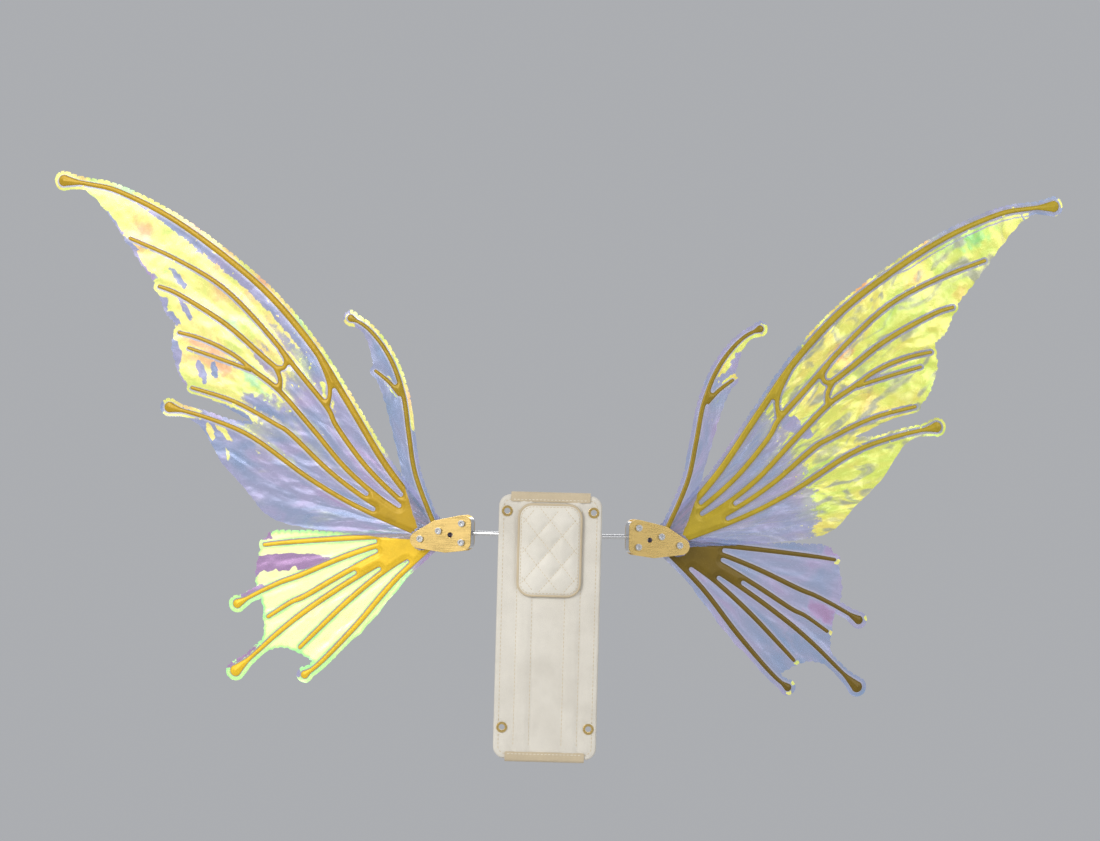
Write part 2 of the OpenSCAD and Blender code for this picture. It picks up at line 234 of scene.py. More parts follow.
def film_material(name, look):
    """Iridescent film: painted warm reflection with ragged borders, and clear lavender elsewhere.

    grain runs along and across the panes; the other attributes are the film's fields.
    """
    t = Tree(name)
    grain, painted_reflection = t.attribute("grain", "Vector"), t.attribute("painted_reflection")
    wide = t.swing(grain, 1.0, 4.0, 0.6, 0.5)
    fine = t.swing(t.stretched(grain, (3.4, 2.6, 1)), 1.7, 3.0, 0.6, 0.9)
    torn = t.add(t.times(wide, 1.1 * look["ragged"]), t.times(fine, 0.6 * look["ragged"]))
    warm = t.between(t.add(painted_reflection, torn), 0.5 - look["soft"], 0.5 + look["soft"])
    # the clear band under the leading vein, and the thin clear line beside every vein
    for gap, soft, wobble in (("band", 0.06, 1.1), ("gap", 0.16, 0.9)):
        near = t.add(t.attribute(gap), t.times(fine, wobble))
        warm = t.times(warm, t.between(near, 1 - soft, 1 + soft))
    # one thin clear crease below the leading vein
    crease = t.add(t.attribute("crease"), t.times(fine, 3.0))
    warm = t.times(warm, t.between(t.maths("ABSOLUTE", crease), 0.45, 0.8))
    # small painted glints of warm reflection just outside the warm areas
    painted_glints = t.between(t.noise(t.stretched(grain, (7, 5, 1)), 1.3, 1.0, 0.4), 0.7, 0.73)
    painted_glints = t.times(painted_glints, t.between(painted_reflection, 0.1, 0.26))
    warm = t.maths("MAXIMUM", warm, painted_glints)
    # painted reflection, peach to mint, with painted fold shadows and painted highlights
    cloud = t.swing(grain, 0.8, 3.0, 0.55, 0.9)
    tone = t.add(t.attribute("tone"), t.times(cloud, look["spread"]))
    warm_colour = t.ramp(tone, WARM[look["warm"]])
    fold_shade = t.noise(t.stretched(grain, (0.8, 1.15, 1)), 1.0, 2.0, 0.45, 1.9)
    fold_shade = t.between(fold_shade, 0.49, 0.68, 0.0, look["clear"])
    warm_colour = t.mix(fold_shade, warm_colour, (0.36, 0.38, 0.24))
    painted_highlight = t.noise(t.stretched(grain, (0.9, 1.0, 1)), 1.3, 2.0, 0.5, 1.4)
    painted_highlight = t.between(painted_highlight, 0.55, 0.72, 0.0, look["painted_highlight"])
    warm_colour = t.mix(painted_highlight, warm_colour, (1.0, 1.0, 0.4))
    # the clear colour: blue to violet, with a faint painted reflection close to the warm areas
    cool_tone = t.noise(t.stretched(grain, (0.7, 0.6, 1)), 0.9, 2.0, 0.5, 0.8)
    cool_colour = t.ramp(t.add(cool_tone, t.attribute("violet")), [
        (0.2, (0.1, 0.24, 0.52)), (0.42, (0.22, 0.28, 0.54)), (0.58, (0.34, 0.31, 0.6)),
        (0.8, (0.4, 0.22, 0.56)), (1.0, (0.36, 0.12, 0.42))])
    closeness = t.add(painted_reflection, t.times(cloud, 0.9))
    faint_reflection = t.between(closeness, 0.08, 0.52, 0.0, look["faint_reflection"])
    faint_reflection = t.times(faint_reflection, t.between(t.attribute("band"), 0.7, 1.8))
    faint_reflection_colour = t.mix(t.between(cloud, -0.1, 0.15), (0.6, 0.5, 0.46), (0.54, 0.62, 0.34))
    cool_colour = t.mix(faint_reflection, cool_colour, faint_reflection_colour)
    # the line beside a vein: a painted highlight on some panels and a painted shadow on others
    pale = t.between(t.attribute("gap"), 0.5, 1.5, 0.75, 0.0)
    cool_colour = t.mix(pale, cool_colour, look["line"])
    t.set(Base_Color=t.mix(warm, cool_colour, warm_colour))
    alpha = t.between(warm, 0.0, 1.0, 0.58, 0.96)
    t.set(Alpha=t.maths("SUBTRACT", alpha, t.times(fold_shade, 0.2)))
    t.set(Metallic=0.12, IOR=1.55, Specular_IOR_Level=0.6)
    t.set(Roughness=t.between(fine, -0.3, 0.3, 0.16, 0.34))
    t.set(Thin_Film_Thickness=420, Thin_Film_IOR=1.6)
    folds = t.noise(t.stretched(grain, (0.9, 0.9, 1)), 0.9, 1.5, 0.4, 1.0)
    ripple = t.times(t.noise(grain, 3.4, 2.0, 0.5, 0.6), 0.1)
    t.bump(t.add(folds, ripple), look["fold"], 0.006)
    return t.mat


def shade_of(colour, share):
    return tuple(c * share for c in colour)


def gilt_material(name, colour):
    """Brushed-on gold paint over a raised bead, slightly uneven."""
    t = Tree(name)
    cloud = t.noise(t.at, 60, 4.0, 0.6)
    speck = t.noise(t.at, 900, 2.0, 0.5)
    base = t.mix(t.between(cloud, 0.3, 0.7), shade_of(colour, 0.84), colour)
    light = tuple(min(1.0, c * 1.35 + 0.02) for c in colour)
    t.set(Base_Color=t.mix(t.between(speck, 0.58, 0.75, 0.0, 0.4), base, light))
    t.set(Metallic=0.2, Coat_Weight=0.08, Coat_Roughness=0.25, Specular_IOR_Level=0.3)
    t.set(Roughness=t.between(cloud, 0.2, 0.8, 0.34, 0.52))
    t.bump(t.noise(t.at, 380, 3.0, 0.5), 0.2, 0.0006)
    return t.mat


def metal_material(name, colour, rough, brush=(1400, 1400, 90)):
    """Metal with fine brush lines, faint smudges and darker worn patches."""
    t = Tree(name)
    lines = t.noise(t.stretched(t.at, brush), 1.0, 2.0, 0.5)
    smudge = t.noise(t.at, 45, 4.0, 0.6)
    t.set(Base_Color=t.mix(t.between(smudge, 0.4, 0.75, 0.0, 0.5), colour, shade_of(colour, 0.78)))
    t.set(Metallic=1.0)
    t.set(Roughness=t.add(t.between(lines, 0.25, 0.75, rough * 0.85, rough * 1.15),
                          t.between(smudge, 0.4, 0.8, 0.0, 0.1)))
    t.bump(lines, 0.02, 0.0001)
    return t.mat


def plastic_material(name, colour, rough, grain):
    t = Tree(name)
    cloud = t.noise(t.at, 120, 3.0, 0.5)
    t.set(Base_Color=t.mix(t.between(cloud, 0.3, 0.7), colour, shade_of(colour, 0.85)))
    t.set(Roughness=t.between(cloud, 0.3, 0.7, rough, rough + 0.12))
    t.bump(t.noise(t.at, grain, 2.0, 0.5), 0.15, 0.0004)
    return t.mat


def cloth_material(name, colour, shade, thread=0.0007):
    """Herringbone coutil: slanted ribs that change direction from one narrow column to the next."""
    t = Tree(name)
    column = 0.004
    split = t.nt.nodes.new("ShaderNodeSeparateXYZ")
    t.put(split.inputs[0], t.at)
    x, z = split.outputs["X"], split.outputs["Z"]
    slant = t.add(z, t.maths("PINGPONG", x, column))
    rib = t.maths("SINE", t.times(slant, 2 * math.pi / thread))
    weft = t.maths("SINE", t.times(x, 2 * math.pi / (thread * 0.8)))
    weave = t.add(t.times(rib, 0.35), t.times(weft, 0.15))
    fuzz = t.noise(t.at, 1500, 2.0, 0.6)
    cloud = t.noise(t.at, 25, 4.0, 0.6)
    height = t.add(weave, t.times(fuzz, 0.4))
    tone = t.add(t.times(height, 0.5), t.times(cloud, 0.8))
    t.set(Base_Color=t.mix(t.between(tone, 0.1, 0.9), shade, colour))
    t.set(Sheen_Weight=0.35, Sheen_Roughness=0.4)
    t.set(Roughness=t.between(cloud, 0.3, 0.7, 0.7, 0.85))
    t.bump(height, 0.5, 0.0003)
    return t.mat


def thread_material(name, colour):
    t = Tree(name)
    twist = t.noise(t.at, 2500, 2.0, 0.5)
    t.set(Base_Color=t.mix(t.between(twist, 0.3, 0.7), shade_of(colour, 0.7), colour))
    t.set(Roughness=0.6, Sheen_Weight=0.3)
    t.bump(twist, 0.4, 0.0002)
    return t.mat


RECIPES = {
    "gilt_wire": (gilt_material, (0.4, 0.26, 0.018)),
    "aluminium": (metal_material, (0.74, 0.74, 0.75), 0.34),
    "steel": (metal_material, (0.62, 0.62, 0.63), 0.24),
    "spring_steel": (metal_material, (0.5, 0.5, 0.51), 0.3),
    "brass": (metal_material, (0.76, 0.54, 0.2), 0.27, (60, 60, 1500)),
    "nylon": (plastic_material, (0.86, 0.84, 0.78), 0.45, 900),
    "rubber": (plastic_material, (0.03, 0.03, 0.032), 0.6, 1400),
    "bone_tip": (plastic_material, (0.88, 0.88, 0.86), 0.3, 500),
    "coutil": (cloth_material, (0.8, 0.76, 0.68), (0.56, 0.52, 0.45)),
    "pad": (cloth_material, (0.84, 0.8, 0.72), (0.62, 0.58, 0.5), 0.0006),
    "binding": (cloth_material, (0.66, 0.55, 0.38), (0.48, 0.39, 0.26), 0.0005),
    "thread": (thread_material, (0.66, 0.52, 0.3)),
    "pale_thread": (thread_material, (0.93, 0.88, 0.76)),
}
MATERIALS = {name: make(name, *look) for name, (make, *look) in RECIPES.items()}
# one gold paint, with painted light and shade per panel: right lower lit, left lower shaded
GILT_LIT_AND_SHADED = {
    "right_upper": (0.48, 0.3, 0.012), "left_upper": (0.48, 0.35, 0.022),
    "right_lower": (0.86, 0.55, 0.025), "left_lower": (0.165, 0.105, 0.007),
    "right_winglet": (0.37, 0.245, 0.012), "left_winglet": (0.32, 0.215, 0.012),
}
# the painted reflection's colours on the film
WARM = {  # from peach through yellow to mint
    "soft": [(0.05, (0.88, 0.5, 0.26)), (0.27, (0.85, 0.67, 0.23)), (0.5, (0.83, 0.8, 0.21)),
             (0.72, (0.67, 0.8, 0.19)), (0.95, (0.42, 0.73, 0.35))],
    "rich": [(0.05, (0.9, 0.45, 0.15)), (0.27, (0.87, 0.69, 0.15)), (0.5, (0.8, 0.82, 0.14)),
             (0.72, (0.63, 0.82, 0.13)), (0.95, (0.28, 0.74, 0.23))],
    "white": [(0.05, (1.0, 0.92, 0.45)), (0.3, (1.0, 1.0, 0.55)), (0.55, (1.0, 1.0, 0.5)),
              (0.75, (0.72, 1.0, 0.36)), (0.95, (0.36, 1.0, 0.36))],
}


def paint(obj, material):
    obj.data.materials.clear()
    obj.data.materials.append(material)


def dress(obj, material, body, node):
    """Material and body of the piece that replaces a node, which is then hidden."""
    paint(obj, material)
    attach(obj, body)
    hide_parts(node)


# ---- outlines and plates ----

class Plane:
    """A flat layout: p sideways, z up, n behind. Points are in millimetres."""

    def __init__(self, origin, out, back):
        self.origin, self.out, self.back = (np.array(v, float) for v in (origin, out, back))
        self.up = np.array((0.0, 0.0, 1.0))

    def to(self, points):
        rel = (np.asarray(points, float) - self.origin) / MM
        return np.stack([rel @ self.out, rel @ self.up, rel @ self.back], 1)

    def back_from(self, pzn):
        pzn = np.asarray(pzn, float)
        p, z, n = pzn[:, :1], pzn[:, 1:2], pzn[:, 2:]
        return self.origin + MM * (p * self.out + z * self.up + n * self.back)


def vertices_of(node):
    return np.array([v.co for v in nodes[node].data.vertices], float)


def wing_plane(side):
    """The wing's own plane, from the fold joint's axis and the lean of the wing's film."""
    pivot = joints[f"{side}_fold"]["pos_m"]
    xy = vertices_of(f"{side}_upper_film")[:, :2]
    spread = xy - xy.mean(0)
    out = np.linalg.svd(spread, full_matrices=False)[2][0]
    if out[0] * SIDES[side] < 0:
        out = -out
    back = np.array((-out[1], out[0])) * SIDES[side]
    return Plane((pivot[0], pivot[1], 0), (*out, 0), (*back, 0))


def cap_loops(node, plane):
    """The outline loops of a flat node's front cap, and the depths of its front and back faces."""
    mesh = nodes[node].data
    mesh.calc_loop_triangles()
    tris = np.array([tuple(t.vertices) for t in mesh.loop_triangles])
    pzn = plane.to(vertices_of(node))
    front, back = pzn[:, 2].min(), pzn[:, 2].max()
    near_front = 0.2  # share of the depth
    flat = (pzn[tris][:, :, 2] < front + near_front * (back - front)).all(1)
    keys = {}
    index = np.array([keys.setdefault(tuple(q), len(keys)) for q in np.round(pzn[:, :2], 3)])
    places = np.array(list(keys))
    used = {}
    for tri in index[tris[flat]]:
        for a, b in ((tri[0], tri[1]), (tri[1], tri[2]), (tri[2], tri[0])):
            if a != b:
                used[(a, b)] = used.get((a, b), 0) + 1
    follow = {a: b for a, b in used if (b, a) not in used}
    loops = []
    while follow:
        start, at = next(iter(follow.items()))
        del follow[start]
        loop = [start]
        while at != start and at in follow:
            loop.append(at)
            at = follow.pop(at)
        if len(loop) > 2:
            loops.append(places[loop])
    loops.sort(key=lambda l: -abs(area_of(l)))
    return loops, front, back


def area_of(loop):
    x, y = loop[:, 0], loop[:, 1]
    return 0.5 * float(np.sum(x * np.roll(y, -1) - y * np.roll(x, -1)))


def unit(v):
    return v / np.maximum(np.linalg.norm(v, axis=-1, keepdims=True), 1e-9)


def normals_of(loop):
    """Unit normals to the right of the way the loop runs."""
    d = np.roll(loop, -1, 0) - np.roll(loop, 1, 0)
    return unit(np.stack([d[:, 1], -d[:, 0]], 1))


def tree_of(points):
    """A search tree over flat points."""
    tree = kdtree.KDTree(len(points))
    for k, q in enumerate(points):
        tree.insert((q[0], q[1], 0), k)
    tree.balance()
    return tree


def distances(points, tree):
    return np.array([tree.find((q[0], q[1], 0))[2] for q in points])


def polar(rel):
    return np.linalg.norm(rel, axis=1), np.arctan2(rel[:, 1], rel[:, 0])


def step_up(x, low, high):
    """Goes smoothly from 0 to 1 as x goes from low to high."""
    t = np.clip((x - low) / (high - low), 0, 1)
    return t * t * (3 - 2 * t)


def rounded(depth, width):
    """A quarter round: 0 at the edge, and 1 from width inwards."""
    return np.sqrt(1 - (1 - np.minimum(depth / width, 1)) ** 2)


def running_length(line):
    """The distance along the line at each of its points."""
    return np.concatenate([[0], np.cumsum(np.linalg.norm(np.diff(line, axis=0), axis=1))])


def resample(loop, step):
    """The loop with extra points, so that no stretch is longer than step."""
    out = []
    for a, b in zip(loop, np.roll(loop, -1, 0)):
        count = max(1, math.ceil(np.linalg.norm(b - a) / step))
        out.extend(a + (b - a) * k / count for k in range(count))
    return np.array(out)


def evenly(loop, step):
    """Points along the loop, all about step apart, and the loop's length."""
    closed = np.vstack([loop, loop[:1]])
    along = running_length(closed)
    count = max(8, round(along[-1] / step))
    at = np.linspace(0, along[-1], count, endpoint=False)
    return np.stack([np.interp(at, along, closed[:, k]) for k in (0, 1)], 1), along[-1]


def inside(points, loops):
    """True for each point inside the loops, by counting the edges to its right."""
    order = np.argsort(points[:, 1], kind="stable")
    x, y = points[order, 0], points[order, 1]
    odd = np.zeros(len(points), bool)
    for loop in loops:
        for a, b in zip(loop, np.roll(loop, -1, 0)):
            low, high = (a, b) if a[1] < b[1] else (b, a)
            first, last = np.searchsorted(y, (low[1], high[1]))
            if first < last:
                cross = low[0] + (y[first:last] - low[1]) * (high[0] - low[0]) / (high[1] - low[1])
                odd[first:last] ^= x[first:last] < cross
    result = np.zeros(len(points), bool)
    result[order] = odd
    return result


class Border:
    """Nearest places on outline loops."""

    def __init__(self, loops):
        step = 0.35
        self.points = np.vstack([resample(loop, step) for loop in loops])
        self.tree = tree_of(self.points)

    def nearest(self, points):
        """For each point, the distance to the border and the number of its nearest point."""
        found = [self.tree.find((q[0], q[1], 0)) for q in points]
        return np.array([f[2] for f in found]), np.array([f[1] for f in found])


def fill(loops, spacing, rings, extra=()):
    """Triangles over the loops' own points, inset rings, a hexagonal grid and extra points."""
    border = Border(loops)
    low, high = np.vstack(loops).min(0), np.vstack(loops).max(0)
    rows = np.arange(low[1], high[1], spacing * 0.866)
    grid = np.array([(x + (k % 2) * spacing / 2, y)
                     for k, y in enumerate(rows) for x in np.arange(low[0], high[0], spacing)])
    grid = grid[inside(grid, loops)]
    reach = max(rings) + spacing * 0.55
    grid = grid[border.nearest(grid)[0] > reach]
    free = [grid]
    if len(extra):
        free = [grid[distances(grid, tree_of(extra)) > spacing * 0.6], extra]
    for inset in rings:
        for loop in loops:
            n = normals_of(loop)
            ring = np.vstack([loop - n * inset, loop + n * inset])
            ring = ring[inside(ring, loops)]
            free.append(ring[border.nearest(ring)[0] > inset * 0.93])
    outline = np.vstack(loops)
    edges, at = [], 0
    for loop in loops:
        edges.extend((at + k, at + (k + 1) % len(loop)) for k in range(len(loop)))
        at += len(loop)
    points = [Vector(q) for q in np.vstack([outline, *free])]
    verts, _, tris, *_ = delaunay_2d_cdt(points, edges, [], 1, 1e-5, False)
    verts = np.array([(v.x, v.y) for v in verts])
    tris = np.array([t for t in tris if len(t) == 3])
    tris = tris[inside(verts[tris].mean(1), loops)]
    used = np.unique(tris)
    renumber = np.full(len(verts), -1)
    renumber[used] = np.arange(len(used))
    return verts[used], renumber[tris], border


def uneven(points, across, up, seed):
    """Smooth noise over the points, of about the given waves per millimetre."""
    return np.array([noise.noise(Vector((q[0] * across, q[1] * up, seed))) for q in points])


def eased(values, tris, fixed, times):
    """values at the triangles' corners, evened out with their neighbours."""
    pairs = np.vstack([tris[:, [0, 1]], tris[:, [1, 2]], tris[:, [2, 0]]])
    pairs = np.vstack([pairs, pairs[:, ::-1]])
    count = np.bincount(pairs[:, 0], minlength=len(values)).clip(1)
    for _ in range(times):
        mean = np.bincount(pairs[:, 0], weights=values[pairs[:, 1]], minlength=len(values)) / count
        values = np.where(fixed, values, 0.5 * values + 0.5 * mean)
    return values


def new_object(name, verts, faces):
    mesh = bpy.data.meshes.new(name)
    mesh.from_pydata([tuple(v) for v in verts], [], [tuple(int(k) for k in f) for f in faces])
    mesh.validate()
    obj = placed(name, mesh)
    bm = bmesh.new()
    bm.from_mesh(mesh)
    bmesh.ops.recalc_face_normals(bm, faces=bm.faces)
    bm.to_mesh(mesh)
    bm.free()
    mesh.shade_smooth()
    return obj


def lens(name, plane, points, tris, front, back):
    """A closed body over the triangles, whose faces meet where front and back are equal."""
    shared = np.abs(front - back) < 1e-6
    n = len(points)
    second = np.arange(n)
    second[~shared] = n + np.arange((~shared).sum())
    pzn = np.vstack([np.column_stack([points, front]), np.column_stack([points, back])[~shared]])
    faces = [tuple(t) for t in tris] + [tuple(second[t][::-1]) for t in tris]
    return new_object(name, plane.back_from(pzn), faces)


def bead(name, node, plane, material, body, towards_front, spacing=0.95, roundness=2.6):
    """A rounded bead over a flat vein node's outline, with webbed forks and domed bulbs."""
    edge_step, first_ring, brush_marks = 1.3, 0.3, 0.07
    bulb_rise, bulb_from, bulb_to = 0.45, 2.5, 4.8
    loops, front, back = cap_loops(node, plane)
    loops = [resample(l, edge_step) for l in loops]
    points, tris, border = fill(loops, spacing, (first_ring,))
    distance, _ = border.nearest(points)
    height = eased(rounded(distance, roundness), tris, distance < 0.5, 5)
    height *= 1 - brush_marks + brush_marks * uneven(points, 0.09, 0.09, 3)
    height = height.clip(0, 1) + bulb_rise * step_up(distance, bulb_from, bulb_to)
    thick = back - front
    flat = np.full(len(points), back if towards_front else front)
    domed = flat + (-thick if towards_front else thick) * height
    domed = np.where(distance < 1e-3, flat, domed)
    obj = lens(name, plane, points, tris, domed, flat)
    dress(obj, material, body, node)
    return loops


# ---- film ----

def ragged(loop, depth, snip_pitch, seed):
    """The film's cut edge: small nicks on the outer sweep and an uneven line elsewhere."""
    nick_half, nick_depth = 0.9, 1.7
    pts, total = evenly(loop, 0.8)
    outward = normals_of(pts) * (1 if area_of(loop) > 0 else -1)
    step = total / len(pts)
    out = []
    for k, (q, m) in enumerate(zip(pts, outward)):
        s = k * step
        wave = 0.5 * noise.noise(Vector((s / 3.1, seed, 0)))
        wave += 0.6 * noise.noise(Vector((s / 9.0, seed, 5)))
        cut = depth * max(0.0, 0.35 + wave)
        jitter = 1.5 * noise.noise(Vector((s / snip_pitch, seed, 9)))
        nick = abs(((s + jitter) % snip_pitch) - snip_pitch / 2)
        on_outer_sweep = m[1] > 0.2 and m[0] < 0.75
        if on_outer_sweep and nick < nick_half:
            cut += nick_depth * (1 - nick / nick_half)
        out.append(q - m * cut)
    return np.array(out)


# Each film's look, with places on its plane. The painted warm reflection sets in over onset, two
# distances from the root plate, and reaches level; soft and ragged shape its border, warm, tone and
# spread its colour, clear its painted fold shadows, painted_highlight its painted highlights, and
# faint_reflection the faint painted reflection on the clear film beside it. band: width of the
# clear band under the leading vein. gap: widths of the clear line above and below a vein; line: its
# painted colour, a highlight on some panels and a shadow on others. margin: where the outer margin
# turns warm; bare: where it turns clear again. crease: how far below the leading vein, and from
# where on. rim: width, lowest and highest place of the clear trailing rim. edge_tone: added to tone
# along the edges. spots: place, half length and width, turn, and what they add to the painted
# reflection, its tone and the violet; the small warm spots at the vein tips are painted glints.
BASE = dict(
    level=1.0, soft=0.05, ragged=0.7, warm="soft", tone=0.5, spread=1.1, clear=0.0, painted_highlight=0.55,
    faint_reflection=0.55, band=0.3, gap=(0.5, 1.5), line=(0.6, 0.6, 0.8), margin=60, bare=(800, 900),
    crease=(0, 900), rim=(0, 0, 0), edge_tone=0.0, violet=0.0, fold=0.3, spots=())
FILM_LOOKS = {
    "right_upper": dict(
        BASE, onset=(140, 262), band=7.4, rim=(6.5, 40, 285), spread=1.5, painted_highlight=0.2,
        fold=0.22, soft=0.13, faint_reflection=0.9, spots=(
            (234, 183, 20, 8, 42, 0, .22, 0), (334, 262, 20, 7, 42, 0, -.24, 0),
            (304, 220, 18, 6, 42, 0, -.2, 0), (229, 155, 15, 5, 42, -.45, 0, 0),
            (262, 76, 42, 26, 62, -.85, 0, -.1), (248, 112, 34, 9, -14, -.28, .1, 0),
            (317.5, 111, 2.6, 5, 0, -1.2, 0, -.2), (226, 127, 30, 10, 30, .3, .1, 0),
            (232, 166, 14, 5, 40, -.3, -.1, 0),
            (306, 221, 13, 3, 49, -1, 0, 0), (298, 194, 12, 3, 58, -1, 0, 0),
            (310, 188, 8, 2.6, 62, -1, 0, 0), (283, 143, 11, 4, 70, -1.1, 0, -.1),
            (271, 143, 8, 3.2, 78, -1.1, 0, -.1), (352, 251, 9, 2.6, 35, -1, 0, -.1),
            (371, 272, 10, 3, 40, -.9, 0, -.1), (274, 90, 9, 4, 75, 1, .1, 0),
            (262, 92, 15, 3.4, 48, 1, .1, 0), (258, 72, 8, 3, 70, 1, 0, 0),
            (252, 111, 24, 4.5, 22, .55, -.1, 0), (169, 125, 13, 4.2, 66, 1, 0, 0),
            (181, 148, 6, 2.5, 60, .9, .1, 0), (275, 152, 26, 15, 30, 0, -.34, 0),
            (285, 166, 20, 4.5, 22, .3, -.5, 0), (238, 140, 14, 8, 40, 0, .18, 0),
            (252, 182, 24, 13, 38, 0, .2, 0), (340, 255, 16, 7, 40, 0, -.15, 0),
            (228, 118, 26, 8, 32, -.25, .2, 0), (215, 176, 22, 5, 45, -.35, 0, 0))),
    "left_upper": dict(
        BASE, onset=(106, 184), level=1.1, gap=(1.6, 1.8), warm="rich", tone=0.53, spread=1,
        clear=0.9, painted_highlight=0.3, fold=0.5, soft=0.07, margin=190, bare=(325, 375), crease=(4.4, 285),
        line=(0.22, 0.22, 0.34), spots=(
            (411, 302, 24, 9, 20, -1.2, 0, 0), (419, 307, 2.6, 4.6, 8, 2.4, .1, 0),
            (223, 172, 13, 8, 40, 0, -.42, 0), (236, 163, 16, 5, 30, 0, -.38, 0),
            (285, 258, 30, 4.5, 42, 0, -.38, 0), (346, 277, 24, 9, 36, 0, .27, 0),
            (318, 266, 20, 6, 38, 0, .2, 0), (268, 155, 26, 12, 30, 0, .16, 0),
            (234, 222, 14, 8, 45, 0, -.24, 0), (288, 236, 16, 5, 42, 0, -.26, 0),
            (281, 168, 20, 4, 22, 0, -.5, 0), (330, 226, 9, 8, 60, 0, -.3, 0),
            (302, 150, 12, 9, 80, 0, .1, 0), (200, 133, 18, 9, 45, .3, -.1, 0),
            (179, 111, 13, 6, -25, -.9, 0, 0), (193, 104, 8, 5, -25, -.7, 0, 0))),
    "right_lower": dict(
        BASE, onset=(20, 70), level=1.2, gap=(0.9, 0.5), warm="white", tone=0.42, spread=0.5,
        fold=0.12, violet=0.25, edge_tone=0.42, line=(0.4, 0.34, 0.42), spots=(
            (204, -18.5, 48, 8.2, -4, -1.4, 0, .34), (229, -23, 8, 9, 80, -1.4, 0, .2),
            (224, -30.5, 6.6, 2.9, 112, 1.7, 0, 0), (214.5, -30, 5.6, 2.2, 118, 1.7, 0, 0),
            (206, -29, 5.4, 2.4, 124, 1.7, 0, 0), (197, -26, 5.2, 2.6, 130, 1.7, 0, 0),
            (222, 4, 8, 4.5, 0, -1.4, 0, .3), (214, 3, 4.6, 2.2, 62, 1.7, 0, 0),
            (206, 4, 4.6, 2.4, 62, 1.7, 0, 0), (233, -43.5, 12, 2.8, -27, -1.4, 0, .2),
            (240, -48, 4, 2.6, 0, -1.3, 0, 0), (238, -98.5, 14, 3, -42, -1.3, 0, .2),
            (251, -107.5, 4.2, 4, 0, -1.4, 0, .3), (189.5, -112, 2.6, 4.2, 0, -1.3, 0, 0))),
    "left_lower": dict(
        BASE, onset=(10, 60), level=-0.25, gap=(1.2, 0.6), fold=0.07, faint_reflection=0, violet=-0.02,
        line=(0.5, 0.48, 0.66), spots=(
            (212, -49, 15, 8, -28, 0, 0, .42), (221, 4, 11, 6, 0, 0, 0, .3),
            (196, -80, 19, 11, -40, 0, 0, -.24), (246, -119, 9, 7, 0, 0, 0, -.15),
            (226, -6, 3.6, 2, 10, 2, 0, 0), (253.5, -53.5, 2.7, 2.5, 0, 2, 0, 0),
            (221.5, -66.5, 2.8, 1.9, -30, 2, 0, 0), (191.5, -92, 2.2, 2, 0, 2, 0, 0),
            (189, -109, 2, 2, 0, 2, 0, 0), (185.5, -117.5, 2.2, 2, 0, 2, 0, 0))),
    "right_winglet": dict(
        BASE, onset=(60, 120), level=0.13, gap=(0.8, 1.2), faint_reflection=0.1, margin=70, violet=-0.1,
        spots=((150, 186, 7, 5, 30, .6, 0, 0), (112, 133, 10, 3, 55, .5, 0, 0))),
    "left_winglet": dict(
        BASE, onset=(60, 120), level=0.16, gap=(0.8, 0.9), faint_reflection=0.15, margin=900, warm="rich",
        spots=(
            (136, 178, 26, 3.6, 38, .8, 0, 0), (154, 189, 6, 6, 0, .6, 0, 0),
            (118, 158, 14, 5, 55, .55, 0, 0), (124, 146, 9, 3, 40, .7, 0, 0))),
}


def film(side, panel, plane, vein_loops):
    """One film laminate: a gently folded skin inside its vein frame."""
    name = f"{side}_{panel}"
    look = FILM_LOOKS[name]
    node = name + "_film"
    loops, front, back = cap_loops(node, plane)
    seed = sum(ord(c) for c in name) % 17
    low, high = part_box(f"{side}_front_plate")
    root = plane.to([(low + high) / 2])[0][:2]
    cut_back, nick_pitch, spacing, first_ring = 0.9, 6.2, 1.7, 0.7
    pane_long, pane_wide, measured_at = 34, 17, 190  # the film's pattern is this big at that radius
    cut = [ragged(loops[0], cut_back, nick_pitch, seed)] + [resample(l, 1.0) for l in loops[1:]]
    points, tris, border = fill(cut, spacing, (first_ring,))
    veins = Border(vein_loops)
    near, which = veins.nearest(points)
    near = np.where(inside(points, vein_loops), -near, near)
    radius, angle = polar(points - root)
    grain = np.column_stack([radius / pane_long, angle * measured_at / pane_wide,
                             np.full(len(points), seed * 3.7)])
    depth = (front + back) / 2 + film_folds(grain, look["fold"]) * step_up(near, 0.2, 6.0)
    obj = new_object(node + "_skin", plane.back_from(np.column_stack([points, depth])), tris)
    away = points - veins.points[which]
    under = (away[:, 1] - 0.25 * away[:, 0]) * np.sign(near) < 0
    lead, outside = leading_side(points, vein_loops, veins, root, panel)
    edge, _ = border.nearest(points)
    fields = film_fields(look, seed, points, radius, edge, near, under, lead, outside)
    add_fields(obj, **fields, grain=grain)
    dress(obj, FILM_MATERIALS[name], f"{side}_wing", node)


